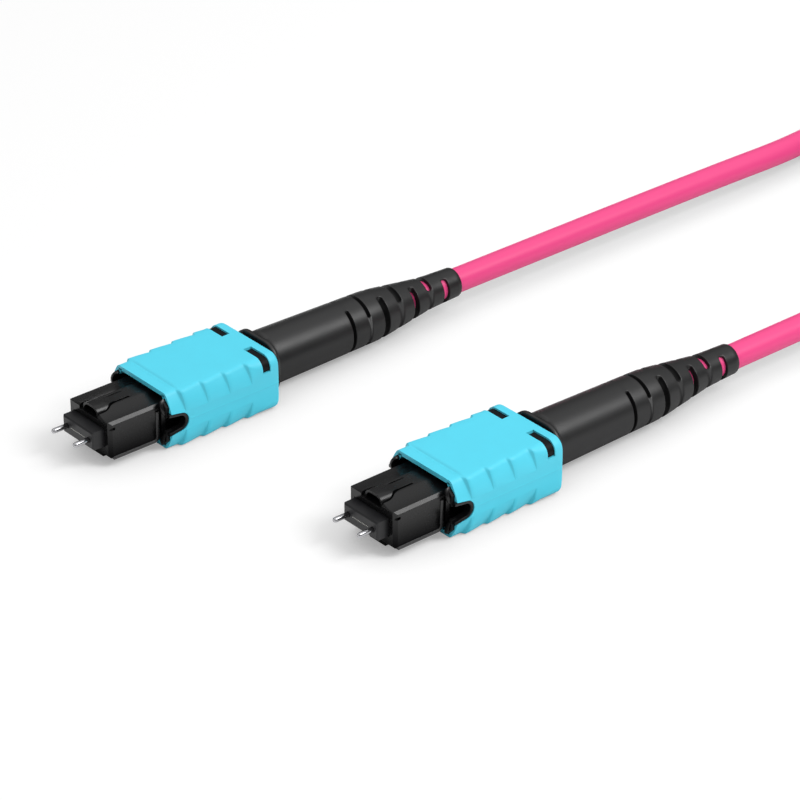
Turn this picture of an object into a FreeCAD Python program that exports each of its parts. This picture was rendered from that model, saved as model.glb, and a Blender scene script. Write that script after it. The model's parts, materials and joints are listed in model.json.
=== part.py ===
import FreeCAD, Part
import math
import os
from FreeCAD import Vector

os.makedirs("parts", exist_ok=True)

# A fibre patch cable with a male twelve-fibre push-on connector on each end.
# All sizes are in millimetres. One connector is drawn with the front of its nose at y = 0,
# its axis along +Y towards the cable, x to the right and z up from the axis.

# Ferrule, guide pins and the parts behind them
ferrule_width = 6.4
ferrule_height = 2.5
ferrule_length = 8.0
ferrule_reach = 1.8
ferrule_edge_round = 0.18
flange_step = 0.3
flange_length = 2.0
window_width = 3.0
window_length = 1.6
window_depth = 0.7
window_from_face = 3.2
pin_diameter = 0.7
pin_pitch = 4.6
pin_reach = 2.3
pin_tip_length = 0.2
pin_tip_diameter = 0.34
pin_gap = 0.03
pin_tail = 0.2
ribbon_width = 3.1
ribbon_thickness = 0.3
ribbon_gap = 0.08
ribbon_in_ferrule = 3.0
ferrule_boot_wall = 0.25
ferrule_boot_length = 3.4
ferrule_boot_tail = 0.6
clamp_length = 1.6
clamp_edge_step = 0.1
ferrule_travel = 0.6
ferrule_spring_length = 7.2
ferrule_spring_turns = 4
ferrule_spring_wire = 0.36

# Inner housing: the nose that enters the adapter and the body inside the sleeve
nose_width = 8.8
nose_height = 5.8
nose_length = 11.6
nose_front_bevel = 0.45
land_width = 2.8
land_rise = 0.4
flank_dip = 0.11
top_bevel = 0.38
bottom_bevel = 0.5
body_side_step = 0.65
body_flat_step = 0.05
body_edge_round = 0.5
key_width = 3.0
key_height = 0.95
key_front = 0.9
key_length = 6.2
side_notch_length = 0.9
side_notch_height = 0.4
side_notch_depth = 0.3
recess_front = 7.4
recess_length = 0.6
recess_height = 3.6
recess_depth = 0.4
rib_length = 0.6
rib_rise = 0.15
groove_depth = 0.38

# Sprung tongue in the top of the nose
tongue_slot_front_width = 3.9
tongue_slot_rear_width = 2.0
tongue_slot_length = 5.8
tongue_slot_depth = 0.85
tongue_bend_front = 0.9
tongue_bend_rear = 3.7
tongue_slit = 0.26
tongue_wall = 0.34
tongue_rise = 0.45
tongue_rear_rise = 0.04
tongue_setback = 0.3
tongue_crown_round = 1.2
tongue_hump = 1.3
tongue_hollow = 2.0

# Release sleeve and the coloured grip over it
nose_show = 8.35
cover_length = 17.4
cover_wall = 0.6
cover_round = 1.5
liner_side_wall = 0.5
liner_flat_wall = 0.35
sleeve_side_gap = 0.2
sleeve_flat_gap = 0.15
liner_reach = 0.5
liner_bevel = 1.0
liner_inner_bevel = 0.5
liner_gap = 0.05
fin_width = 0.85
fin_length = 2.6
latch_notch_height = 2.7
latch_notch_depth = 2.8
latch_rim = 0.36
tooth_width = 0.7
tooth_height = 0.7
tooth_length = 1.7
tooth_lean = 0.18
window_from_rear = 1.3
corner_window_length = 1.6
corner_window_reach = 4.1
corner_window_drop = 1.95
catch_rise = 0.35
catch_gap = 0.1
wave_count = 4
wave_pitch = 3.6
wave_first = 2.4
wave_inset = 0.8
wave_start_inset = 0.36
wave_drop = 3.4
wave_ramp = 3.2
wave_wall = 0.3
band_from_front = 2.2
band_length = 0.5
band_depth = 0.12
band_margin = 1.6
release_travel = 0.8
travel_spare = 0.2

# Side springs that push the sleeve forward
channel_height = 2.2
channel_wall = 0.4
channel_setback = 0.8
channel_end_wall = 2.0
spring_steps = 6
side_spring_turns = 3
side_spring_wire = 0.2
side_spring_height = 1.7
spring_gap = 0.05
rib_block_length = 1.0
rib_block_gap = 0.1

# Spring push: the rear body that closes the housing and takes the crimp
push_length = 8.8
push_bore_width = 3.4
push_bore_height = 1.8
snap_width = 2.4
snap_length = 1.2
snap_height = 0.45
snap_flat = 0.4
snap_from_rear = 2.6
snap_gap = 0.1
neck_width = 7.6
neck_height = 4.4
collar_width = 8.8
collar_height = 6.3
collar_round = 1.9
collar_inset = 0.1
stub_diameter = 4.4
stub_length = 4.6

# Crimp ring and strain relief boot
crimp_wall = 0.5
crimp_gap = 0.06
crimp_front_gap = 0.8
crimp_front_length = 4.6
crimp_rear_length = 3.6
crimp_flats = 6
boot_diameter = 7.7
boot_knee_diameter = 7.0
boot_neck_diameter = 4.55
boot_tail_diameter = 4.15
boot_length = 34.05
boot_knee = 19.6
boot_neck = 5.2
boot_flange_width = 9.4
boot_flange_length = 0.7
boot_flange_bevel = 2.0
boot_bore_gap = 0.05
boot_fit = 0.15
boot_sides = 20
ring_count = 7
ring_pitch = 2.88
ring_from_tail = 2.8
ring_thin_width = 0.55
ring_wide_width = 0.95
thin_rings = 2
blind_rings = 4
blind_web = 4.2
open_web = 2.3

# Cable and the way the two ends lie
cable_diameter = 3.5
end_spacing = 39.4
end_stagger = 13.6
coil_turns = 6.5
coil_mean_diameter = 35.5
coil_layers = 2
turn_pitch = 3.55
coil_centre_y = 118.0
coil_sides = 24
tie_width = 5.0
tie_thickness = 0.6
tie_gap = 0.06
bend_share = 0.45
lead_end_setback = 10.6

# Bends of each lead: offsets from its connector's axis, and the place along y
lead_a_bends = ((0.0, 40.0, 0.0), (-0.15, 84.0, -0.4))
lead_b_bends = ((0.0, 47.0, 0.0), (0.15, 85.0, 0.2))

# Fits worked out from the sizes above
slide_gap = 0.1
seat_gap = 0.05
same_place = 1e-6
ferrule_front = -ferrule_reach
ferrule_rear = ferrule_front + ferrule_length
flange_front = ferrule_rear - flange_length
flange_width = ferrule_width + 2 * flange_step
flange_height = ferrule_height + 2 * flange_step
pin_tip = ferrule_front - pin_reach
clamp_front = ferrule_rear + seat_gap
clamp_rear = clamp_front + clamp_length
pin_rear = clamp_rear - pin_tail
push_front = clamp_rear + ferrule_spring_length
housing_rear = push_front + push_length
cavity_width = flange_width + 2 * slide_gap
cavity_height = flange_height + 2 * slide_gap
cavity_front = flange_front - seat_gap
body_width = nose_width + 2 * body_side_step
body_height = nose_height - 2 * body_flat_step
liner_inner_width = body_width + 2 * sleeve_side_gap
liner_inner_height = nose_height + 2 * sleeve_flat_gap
liner_width = liner_inner_width + 2 * liner_side_wall
liner_height = liner_inner_height + 2 * liner_flat_wall
cover_inner_width = liner_width + 2 * liner_gap
cover_inner_height = liner_height + 2 * liner_gap
cover_width = cover_inner_width + 2 * cover_wall
cover_height = cover_inner_height + 2 * cover_wall
axis_height = cover_height / 2
cover_rear = nose_show + cover_length
liner_front = nose_show - liner_reach
collar_front = cover_rear - collar_inset
liner_rear = collar_front - release_travel - slide_gap
boot_front = cover_rear + release_travel + travel_spare
boot_rear = boot_front + boot_length
channel_floor = cavity_width / 2 + channel_wall
channel_front = nose_length + channel_setback
channel_rear = housing_rear - channel_end_wall
rib_block_front = channel_front + seat_gap
rib_block_rear = rib_block_front + rib_block_length
stub_rear = boot_front + stub_length
crimp_front = boot_front + crimp_front_gap
crimp_step = crimp_front + crimp_front_length
crimp_rear = crimp_step + crimp_rear_length
crimp_front_bore = stub_diameter + 2 * crimp_gap
crimp_rear_bore = cable_diameter + 2 * crimp_gap
crimp_front_diameter = crimp_front_bore + 2 * crimp_wall
crimp_rear_diameter = crimp_rear_bore + 2 * crimp_wall
jacket_front = crimp_step
ribbon_rear = jacket_front - ferrule_travel - slide_gap
boot_bore = cable_diameter + 2 * boot_bore_gap

# The two ends lie side by side, and their joint box is centred on the origin
end_middle_y = (pin_tip + boot_rear + end_stagger) / 2
end_places = {
    "a": Vector(-end_spacing / 2, -end_middle_y, axis_height),
    "b": Vector(end_spacing / 2, end_stagger - end_middle_y, axis_height),
}


def block(x_low, x_high, y_low, y_high, z_low, z_high):
    """A box between two corners."""
    corner = Vector(x_low, y_low, z_low)
    return Part.makeBox(x_high - x_low, y_high - y_low, z_high - z_low, corner)


def bar(width, height, y_low, y_high):
    """A box centred on the connector axis."""
    return block(-width / 2, width / 2, y_low, y_high, -height / 2, height / 2)


def long_edges(shape):
    """The straight edges of a bar that run along the connector axis."""
    return [e for e in shape.Edges if e.BoundBox.XLength + e.BoundBox.ZLength < same_place]


def rounded_bar(width, height, radius, y_low, y_high):
    """A bar whose four long edges are rounded."""
    plain = bar(width, height, y_low, y_high)
    return plain.makeFillet(radius, long_edges(plain))


def bevelled_bar(width, height, bevel, y_low, y_high):
    """A bar whose four long edges are bevelled."""
    plain = bar(width, height, y_low, y_high)
    return plain.makeChamfer(bevel, long_edges(plain))


def rod(diameter, y_low, y_high, x=0.0):
    """A round rod along the connector axis."""
    return Part.makeCylinder(diameter / 2, y_high - y_low, Vector(x, y_low, 0), Vector(0, 1, 0))


def both_sides(shape):
    """A shape and its mirror image on the other side, left and right."""
    return [shape, shape.mirror(Vector(0, 0, 0), Vector(1, 0, 0))]


def top_and_bottom(shapes):
    """Shapes and their mirror images below the axis."""
    return shapes + [s.mirror(Vector(0, 0, 0), Vector(0, 0, 1)) for s in shapes]


def closed_face(points):
    """A flat face inside a closed outline of straight lines."""
    return Part.Face(Part.makePolygon(points + points[:1]))


def flat_solid(outlines):
    """A solid of flat faces through a row of closed outlines with equally many points."""
    faces = [closed_face(outlines[0]), closed_face(outlines[-1])]
    for near, far in zip(outlines, outlines[1:]):
        for side in range(len(near)):
            faces.append(closed_face([near[side - 1], near[side], far[side]]))
            faces.append(closed_face([near[side - 1], far[side], far[side - 1]]))
    return Part.makeSolid(Part.makeShell(faces))


def flat_outline(across_flats, sides, y):
    """The corners of a regular outline round the connector axis."""
    corner_radius = across_flats / 2 / math.cos(math.pi / sides)
    corners = []
    for corner in range(sides):
        angle = 2 * math.pi * (corner + 0.5) / sides
        corners.append(Vector(corner_radius * math.cos(angle), y, corner_radius * math.sin(angle)))
    return corners


def flat_sided_rod(across_flats, sides, y_low, y_high):
    """A rod with flat sides along the connector axis."""
    return closed_face(flat_outline(across_flats, sides, y_low)).extrude(Vector(0, y_high - y_low, 0))


def oval_spring(width, height, wire, turns, y_low, y_high, x_middle):
    """A compression spring with oval coils of square wire, built from short straight steps."""
    steps = turns * spring_steps
    rise = y_high - y_low - wire
    half = wire / 2
    half_width = width / 2 - half
    half_height = height / 2 - half
    along = Vector(0, half, 0)
    sections = []
    for step in range(steps + 1):
        angle = 2 * math.pi * turns * step / steps
        y = y_low + half + rise * step / steps
        middle = Vector(x_middle + half_width * math.cos(angle), y, half_height * math.sin(angle))
        out = Vector(half_height * math.cos(angle), 0, half_width * math.sin(angle)).normalize() * half
        sections.append([middle - out - along, middle + out - along, middle + out + along, middle - out + along])
    return flat_solid(sections)


def nose_section():
    """The nose's outline seen from the front: a raised land on top between two hollow flanks."""
    half_width = nose_width / 2
    top = nose_height / 2
    bottom = -nose_height / 2
    edge_x = half_width - top_bevel
    edge_z = top - land_rise
    land_x = land_width / 2
    dip_x = (edge_x + land_x) / 2
    dip_z = (edge_z + top) / 2 - flank_dip
    lower = [
        Vector(-edge_x, 0, edge_z),
        Vector(-half_width, 0, edge_z - top_bevel),
        Vector(-half_width, 0, bottom + bottom_bevel),
        Vector(-half_width + bottom_bevel, 0, bottom),
        Vector(half_width - bottom_bevel, 0, bottom),
        Vector(half_width, 0, bottom + bottom_bevel),
        Vector(half_width, 0, edge_z - top_bevel),
        Vector(edge_x, 0, edge_z),
    ]
    right_land = Vector(land_x, 0, top)
    left_land = Vector(-land_x, 0, top)
    edges = [Part.LineSegment(a, b).toShape() for a, b in zip(lower, lower[1:])]
    edges.append(Part.Arc(lower[-1], Vector(dip_x, 0, dip_z), right_land).toShape())
    edges.append(Part.LineSegment(right_land, left_land).toShape())
    edges.append(Part.Arc(left_land, Vector(-dip_x, 0, dip_z), lower[0]).toShape())
    return Part.Face(Part.Wire(edges))


def swan_neck(x_front, x_rear, y_front, y_rear):
    """Two equal arcs that lead smoothly from one straight line to another beside it."""
    shift = x_front - x_rear
    run = y_rear - y_front
    radius = (run ** 2 + shift ** 2) / (4 * abs(shift))
    half_turn = math.asin(run / 2 / radius) / 2
    inset = math.copysign(radius * (1 - math.cos(half_turn)), shift)
    ahead = radius * math.sin(half_turn)
    front = Vector(x_front, y_front, 0)
    middle = Vector((x_front + x_rear) / 2, (y_front + y_rear) / 2, 0)
    rear = Vector(x_rear, y_rear, 0)
    first = Part.Arc(front, Vector(x_front - inset, y_front + ahead, 0), middle)
    second = Part.Arc(middle, Vector(x_rear + inset, y_rear - ahead, 0), rear)
    return [first.toShape(), second.toShape()]


def tongue_outline(front_width, rear_width, y_front, y_rear):
    """The waved outline of the tongue or its slot, seen from above, as a prism through the roof."""
    edges = []
    for side in (-1, 1):
        x_front = side * front_width / 2
        x_rear = side * rear_width / 2
        front = Vector(x_front, y_front, 0)
        bend_start = Vector(x_front, tongue_bend_front, 0)
        bend_end = Vector(x_rear, tongue_bend_rear, 0)
        rear = Vector(x_rear, y_rear, 0)
        edges.append(Part.LineSegment(front, bend_start).toShape())
        edges += swan_neck(x_front, x_rear, tongue_bend_front, tongue_bend_rear)
        edges.append(Part.LineSegment(bend_end, rear).toShape())
    for width, y in ((front_width, y_front), (rear_width, y_rear)):
        edges.append(Part.LineSegment(Vector(-width / 2, y, 0), Vector(width / 2, y, 0)).toShape())
    outline = Part.Face(Part.Wire(Part.__sortEdges__(edges)))
    return outline.extrude(Vector(0, 0, nose_height))


def tongue():
    """The arched tongue: a vaulted strip that stands proud in front and sinks into the roof of the nose."""
    floor = nose_height / 2 - tongue_slot_depth
    crown = nose_height / 2 + tongue_rise
    width = tongue_slot_front_width - 2 * tongue_slit
    rear = tongue_slot_length + tongue_slit
    outer = block(-width / 2, width / 2, tongue_setback, rear, floor - tongue_wall, crown)
    top_edges = [e for e in long_edges(outer) if e.CenterOfMass.z > floor]
    outer = outer.makeFillet(tongue_crown_round, top_edges)
    hollow_half = width / 2 - tongue_wall
    hollow = block(-hollow_half, hollow_half, tongue_setback, tongue_hollow, floor, crown - tongue_wall)
    hollow_edges = [e for e in long_edges(hollow) if e.CenterOfMass.z > floor + tongue_wall]
    hollow = hollow.makeFillet(tongue_crown_round - tongue_wall, hollow_edges)
    rear_crown = nose_height / 2 + tongue_rear_rise
    slope = [
        Vector(-width, tongue_hump, crown),
        Vector(-width, tongue_bend_rear, rear_crown),
        Vector(-width, rear, rear_crown),
        Vector(-width, rear, crown),
    ]
    vault = outer.cut([hollow, closed_face(slope).extrude(Vector(2 * width, 0, 0))])
    rear_width = tongue_slot_rear_width - 2 * tongue_slit
    outline = tongue_outline(width, rear_width, tongue_setback, rear)
    return vault.common(outline)


def inner_housing():
    """The black housing: nose, latch shoulders, spring channels and the cavity for the ferrule."""
    nose = nose_section().extrude(Vector(0, nose_length, 0))
    envelope = bar(nose_width, nose_height, 0, nose_length)
    front_edges = [e for e in envelope.Edges if abs(e.CenterOfMass.y) < same_place]
    nose = nose.common(envelope.makeChamfer(nose_front_bevel, front_edges))
    body = rounded_bar(body_width, body_height, body_edge_round, nose_length, housing_rear)
    key_bottom = -nose_height / 2 - key_height
    key = block(-key_width / 2, key_width / 2, key_front, key_front + key_length, key_bottom, 0)
    rib_front = recess_front + recess_length
    rib_rear = rib_front + rib_length
    rib_x = nose_width / 2 + rib_rise
    half_recess = recess_height / 2
    rib = block(0, rib_x, rib_front, rib_rear, -half_recess, half_recess)
    recess_x = nose_width / 2 - recess_depth
    recess = block(recess_x, rib_x, recess_front, rib_front, -half_recess, half_recess)
    groove_x = nose_width / 2 - groove_depth
    groove = block(groove_x, rib_x, rib_rear, nose_length, -half_recess, half_recess)
    notch_top = nose_height / 2 - land_rise - 2 * top_bevel
    notch_x = nose_width / 2 - side_notch_depth
    notch = block(notch_x, rib_x, -seat_gap, side_notch_length, notch_top - side_notch_height, notch_top)
    channel_half = channel_height / 2
    channel = block(channel_floor, body_width, channel_front, channel_rear, -channel_half, channel_half)
    mouth = bar(ferrule_width + 2 * slide_gap, ferrule_height + 2 * slide_gap, -ferrule_reach, cavity_front)
    cavity = bar(cavity_width, cavity_height, cavity_front, housing_rear)
    snap_rear = housing_rear - snap_from_rear + snap_gap
    snap_front = snap_rear - snap_length - 2 * snap_gap
    snap_half = snap_width / 2 + snap_gap
    snap_hole = block(-snap_half, snap_half, snap_front, snap_rear, 0, body_height)
    slot_floor = nose_height / 2 - tongue_slot_depth
    slot = tongue_outline(tongue_slot_front_width, tongue_slot_rear_width, 0, tongue_slot_length)
    slot.translate(Vector(0, 0, slot_floor))
    whole = nose.fuse([body, key] + both_sides(rib))
    side_cuts = both_sides(recess) + both_sides(groove) + both_sides(notch) + both_sides(channel)
    whole = whole.cut(side_cuts + top_and_bottom([snap_hole]) + [slot])
    whole = whole.fuse(tongue())
    return whole.cut([mouth, cavity]).removeSplitter()


def corner_window(inset, depth, y_low, y_high):
    """An L-shaped block that wraps one upper corner of the sleeve, reaching in from its outer faces."""
    half_width = cover_width / 2
    half_height = cover_height / 2
    reach_x = half_width - corner_window_reach + inset
    drop_z = half_height - corner_window_drop + inset
    flat = block(reach_x, half_width, y_low, y_high, half_height - depth, half_height)
    side = block(half_width - depth, half_width, y_low, y_high, drop_z, half_height)
    return flat.fuse(side)


def wave_cutter(index):
    """One finger scoop at the right upper edge: it slants out to nothing downwards and ends in a steep wall."""
    face_x = cover_width / 2
    floor_x = face_x - wave_inset
    clear_x = face_x + wave_inset
    wall_y = nose_show + wave_first + index * wave_pitch
    start_y = nose_show if index == 0 else wall_y - wave_ramp
    start_x = floor_x if index == 0 else face_x - wave_start_inset
    corners = [
        Vector(start_x, start_y, 0),
        Vector(floor_x, wall_y, 0),
        Vector(clear_x, wall_y + 2 * wave_wall, 0),
        Vector(clear_x, start_y, 0),
    ]
    outline = closed_face(corners)
    outline.translate(Vector(0, 0, cover_height / 2))
    return outline.extrude(Vector(wave_inset, 0, -wave_drop))


def grip_cover():
    """The coloured grip: a wavy shell with latch notches in front and two corner windows behind."""
    shell = rounded_bar(cover_width, cover_height, cover_round, nose_show, cover_rear)
    waves = []
    for index in range(wave_count):
        waves += both_sides(wave_cutter(index))
    shell = shell.cut(top_and_bottom(waves))
    hollow = bevelled_bar(cover_inner_width, cover_inner_height, liner_bevel, nose_show, cover_rear)
    half_notch = latch_notch_height / 2
    round_y = nose_show + latch_notch_depth - half_notch
    mouth = block(0, cover_width, nose_show, round_y, -half_notch, half_notch)
    round_end = Part.makeCylinder(half_notch, cover_width, Vector(0, round_y, 0), Vector(1, 0, 0))
    notch = mouth.fuse(round_end)
    window_rear = cover_rear - window_from_rear
    window_front = window_rear - corner_window_length
    window = corner_window(0, cover_wall + liner_gap, window_front, window_rear)
    band_front = nose_show + band_from_front
    band_half = cover_width / 2 - band_margin
    band_floor = cover_height / 2 - band_depth
    band = block(-band_half, band_half, band_front, band_front + band_length, band_floor, cover_height)
    tooth_top = cover_inner_height / 2
    tooth_outer = liner_width / 2 - fin_width - liner_gap
    tooth_points = [
        Vector(tooth_outer - tooth_width, nose_show, tooth_top),
        Vector(tooth_outer, nose_show, tooth_top),
        Vector(tooth_outer - tooth_lean, nose_show, tooth_top - tooth_height),
    ]
    tooth = closed_face(tooth_points).extrude(Vector(0, tooth_length, 0))
    cuts = [hollow, band] + both_sides(notch) + both_sides(window)
    return shell.cut(cuts).fuse(top_and_bottom(both_sides(tooth))).removeSplitter()


def release_sleeve():
    """The black sleeve inside the grip: fins in front, catches in the corner windows, spring blocks inside."""
    outer = bevelled_bar(liner_width, liner_height, liner_bevel, liner_front, liner_rear)
    inner = bevelled_bar(liner_inner_width, liner_inner_height, liner_inner_bevel, liner_front, liner_rear)
    tube = outer.cut(inner)
    window_rear = cover_rear - window_from_rear - catch_gap
    window_front = window_rear - corner_window_length + 2 * catch_gap
    catch = corner_window(catch_gap, cover_wall + liner_gap, window_front, window_rear)
    lift = cover_wall - catch_rise
    trim_x = cover_width / 2 - lift
    trim_z = cover_height / 2 - lift
    trim = rounded_bar(2 * trim_x, 2 * trim_z, cover_round - lift, window_front, window_rear)
    catch = catch.common(trim)
    half_fin = liner_width / 2 - fin_width
    relief = block(-half_fin, half_fin, liner_front, liner_front + fin_length, -cover_height, cover_height)
    half_notch = latch_notch_height / 2 - latch_rim
    round_y = nose_show + latch_notch_depth - latch_rim - half_notch
    mouth = block(0, cover_width, liner_front, round_y, -half_notch, half_notch)
    round_end = Part.makeCylinder(half_notch, cover_width, Vector(0, round_y, 0), Vector(1, 0, 0))
    notch = mouth.fuse(round_end)
    block_x = channel_floor + rib_block_gap
    block_half = channel_height / 2 - rib_block_gap
    wall_x = liner_inner_width / 2 + liner_side_wall / 2
    stop = block(block_x, wall_x, rib_block_front, rib_block_rear, -block_half, block_half)
    tube = tube.fuse(both_sides(catch))
    tube = tube.cut([relief] + both_sides(notch))
    return tube.fuse(both_sides(stop)).removeSplitter()


def side_spring():
    """The oval spring on the right, between the sleeve's block and the end of the housing's channel."""
    room = liner_inner_width / 2 - channel_floor
    width = room - 2 * spring_gap
    middle = channel_floor + room / 2
    front = rib_block_rear + spring_gap
    rear = channel_rear - spring_gap
    return oval_spring(width, side_spring_height, side_spring_wire, side_spring_turns, front, rear, middle)


def pin_at(side):
    """One steel guide pin with a tapered tip, on the left or right of the ferrule."""
    radius = pin_diameter / 2
    tip_radius = pin_tip_diameter / 2
    outline = [
        Vector(0, pin_tip, 0),
        Vector(tip_radius, pin_tip, 0),
        Vector(radius, pin_tip + pin_tip_length, 0),
        Vector(radius, pin_rear, 0),
        Vector(0, pin_rear, 0),
    ]
    pin = closed_face(outline).revolve(Vector(0, 0, 0), Vector(0, 1, 0), 360)
    pin.translate(Vector(side * pin_pitch / 2, 0, 0))
    return pin


def pin_holes(y_low, y_high):
    """The two bores that take the guide pins."""
    diameter = pin_diameter + 2 * pin_gap
    return [rod(diameter, y_low, y_high, side * pin_pitch / 2) for side in (-1, 1)]


def ferrule_boot_size(gap):
    """Outer width and height of the soft boot round the ribbon, with a gap all round."""
    width = ribbon_width + 2 * ribbon_gap + 2 * ferrule_boot_wall + 2 * gap
    height = ribbon_thickness + 2 * ribbon_gap + 2 * ferrule_boot_wall + 2 * gap
    return width, height


def ribbon_hole(y_low, y_high):
    """The slot that lets the fibre ribbon through."""
    width = ribbon_width + 2 * ribbon_gap
    height = ribbon_thickness + 2 * ribbon_gap
    return bar(width, height, y_low, y_high)


def ferrule():
    """The rectangular ferrule: flange at the back, two pin bores, a glue window and a pocket for its boot."""
    front = bar(ferrule_width, ferrule_height, ferrule_front, ferrule_rear)
    front_edges = [e for e in front.Edges if abs(e.CenterOfMass.y - ferrule_front) < same_place]
    front = front.makeChamfer(ferrule_edge_round, front_edges)
    flange = bar(flange_width, flange_height, flange_front, ferrule_rear)
    window_y = ferrule_front + window_from_face
    half_window = window_width / 2
    window_floor = ferrule_height / 2 - window_depth
    window = block(-half_window, half_window, window_y, window_y + window_length, window_floor, ferrule_height)
    pocket_width, pocket_height = ferrule_boot_size(ribbon_gap)
    pocket_front = ferrule_rear + ferrule_boot_tail - ferrule_boot_length
    pocket = bar(pocket_width, pocket_height, pocket_front, ferrule_rear)
    ribbon_front = ferrule_rear - ribbon_in_ferrule - ribbon_gap
    cuts = [window, pocket, ribbon_hole(ribbon_front, ferrule_rear)] + pin_holes(ferrule_front, ferrule_rear)
    return front.fuse(flange).cut(cuts).removeSplitter()


def ferrule_boot():
    """The soft sleeve that guides the ribbon into the ferrule."""
    width, height = ferrule_boot_size(0)
    rear = ferrule_rear + ferrule_boot_tail
    front = rear - ferrule_boot_length + ribbon_gap
    return bar(width, height, front, rear).cut(ribbon_hole(front, rear))


def pin_clamp():
    """The plate behind the ferrule: its cross-shaped opening lets the ribbon through and grips the guide pins."""
    width = flange_width - 2 * clamp_edge_step
    height = flange_height - 2 * clamp_edge_step
    plate = bar(width, height, clamp_front, clamp_rear)
    ribbon_width_clear, ribbon_height_clear = ferrule_boot_size(ribbon_gap)
    ribbon_opening = bar(ribbon_width_clear, ribbon_height_clear, clamp_front, clamp_rear)
    grip_height = pin_diameter + 2 * pin_gap
    pin_opening = bar(pin_pitch + grip_height, grip_height, clamp_front, clamp_rear)
    return plate.cut([ribbon_opening, pin_opening])


def fibre_ribbon():
    """The flat ribbon of twelve fibres, from the ferrule to the end of the cable jacket."""
    return bar(ribbon_width, ribbon_thickness, ferrule_rear - ribbon_in_ferrule, ribbon_rear)


def ferrule_spring():
    """The oval spring that pushes the ferrule forward."""
    width = cavity_width - 4 * slide_gap
    height = cavity_height - 2 * slide_gap
    front = clamp_rear + spring_gap
    rear = push_front - spring_gap
    return oval_spring(width, height, ferrule_spring_wire, ferrule_spring_turns, front, rear, 0)


def spring_push():
    """The rear body: a plug that snaps into the housing, a collar behind the sleeve and a crimp stub."""
    plug = bar(cavity_width - 2 * slide_gap, cavity_height - 2 * slide_gap, push_front, housing_rear)
    neck = bar(neck_width, neck_height, housing_rear, collar_front)
    collar = rounded_bar(collar_width, collar_height, collar_round, collar_front, boot_front)
    stub = rod(stub_diameter, boot_front, stub_rear)
    plug_top = cavity_height / 2 - slide_gap
    snap_rear = housing_rear - snap_from_rear
    snap_front = snap_rear - snap_length
    ramp = [
        Vector(-snap_width / 2, snap_front, plug_top),
        Vector(-snap_width / 2, snap_rear, plug_top),
        Vector(-snap_width / 2, snap_rear, plug_top + snap_height),
        Vector(-snap_width / 2, snap_rear - snap_flat, plug_top + snap_height),
    ]
    snap = closed_face(ramp).extrude(Vector(snap_width, 0, 0))
    passage = bar(push_bore_width, push_bore_height, push_front, stub_rear)
    whole = plug.fuse([neck, collar, stub] + top_and_bottom([snap]))
    return whole.cut(passage).removeSplitter()


def crimp_ring():
    """The crimped metal ring: wide over the stub, narrow over the cable jacket."""
    wide = flat_sided_rod(crimp_front_diameter, crimp_flats, crimp_front, crimp_step)
    narrow = flat_sided_rod(crimp_rear_diameter, crimp_flats, crimp_step, crimp_rear)
    wide_bore = flat_sided_rod(crimp_front_bore, crimp_flats, crimp_front, crimp_step - crimp_wall)
    narrow_bore = flat_sided_rod(crimp_rear_bore, crimp_flats, crimp_front, crimp_rear)
    return wide.fuse(narrow).cut([wide_bore, narrow_bore])


def ring_places():
    """Middle and width of each slot ring along the boot, from the front."""
    places = []
    for ring in range(ring_count):
        middle = boot_rear - ring_from_tail - (ring_count - 1 - ring) * ring_pitch
        width = ring_thin_width if ring < thin_rings else ring_wide_width
        places.append((middle, width))
    return places


def slot_pair(ring, middle, width):
    """Two opposite slots of one ring, blind near the crimp and open to the cable near the tail."""
    web = blind_web if ring < blind_rings else open_web
    slot = block(web / 2, boot_diameter, middle - width / 2, middle + width / 2, -boot_diameter, boot_diameter)
    pair = both_sides(slot)
    if ring % 2 == 1:
        for cutter in pair:
            cutter.rotate(Vector(0, 0, 0), Vector(0, 1, 0), 90)
    return pair


def strain_boot():
    """The tapered boot: a flange in front, and alternate slot rings that let it bend with the cable."""
    diameters = (
        (boot_diameter, boot_front),
        (boot_knee_diameter, boot_front + boot_knee),
        (boot_neck_diameter, boot_rear - boot_neck),
        (boot_tail_diameter, boot_rear),
    )
    body = flat_solid([flat_outline(diameter, boot_sides, y) for diameter, y in diameters]).removeSplitter()
    flange_rear = boot_front + boot_flange_length
    flange = bevelled_bar(boot_flange_width, boot_diameter, boot_flange_bevel, boot_front, flange_rear)
    body = body.fuse(flange)
    crimp_corners = crimp_front_diameter / math.cos(math.pi / crimp_flats)
    wide_bore = rod(crimp_corners + 2 * boot_fit, boot_front, crimp_rear + boot_fit)
    cuts = [wide_bore, rod(boot_bore, boot_front, boot_rear)]
    for ring, (middle, width) in enumerate(ring_places()):
        cuts += slot_pair(ring, middle, width)
    return body.cut(cuts)


def rounded_route(points, label):
    """Straight runs joined by tangent arcs as large as the runs allow; the radii are printed."""
    edges = []
    last = points[0]
    radii = []
    for before, corner, after in zip(points, points[1:], points[2:]):
        back = (before - corner).normalize()
        ahead = (after - corner).normalize()
        half_turn = (math.pi - back.getAngle(ahead)) / 2
        trim = bend_share * min((before - corner).Length, (after - corner).Length)
        radius = trim / math.tan(half_turn)
        bisector = (back + ahead).normalize()
        centre = corner + bisector * (trim / math.sin(half_turn))
        start = corner + back * trim
        end = corner + ahead * trim
        edges.append(Part.LineSegment(last, start).toShape())
        edges.append(Part.Arc(start, centre - bisector * radius, end).toShape())
        radii.append(round(radius, 1))
        last = end
    edges.append(Part.LineSegment(last, points[-1]).toShape())
    print(label, "radii", radii)
    return Part.Wire(edges)


def cable_tube(points, label):
    """A plain round tube along a route, with its volume compared with section times length."""
    route = rounded_route(points, label)
    along = (points[1] - points[0]).normalize()
    ring = Part.Wire(Part.makeCircle(cable_diameter / 2, points[0], along))
    tube = Part.Solid(route.makePipeShell([ring], True, False))
    section = math.pi * cable_diameter ** 2 / 4
    print(label, "length", round(route.Length, 2), "volume ratio", round(tube.Volume / (section * route.Length), 4))
    return tube


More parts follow.
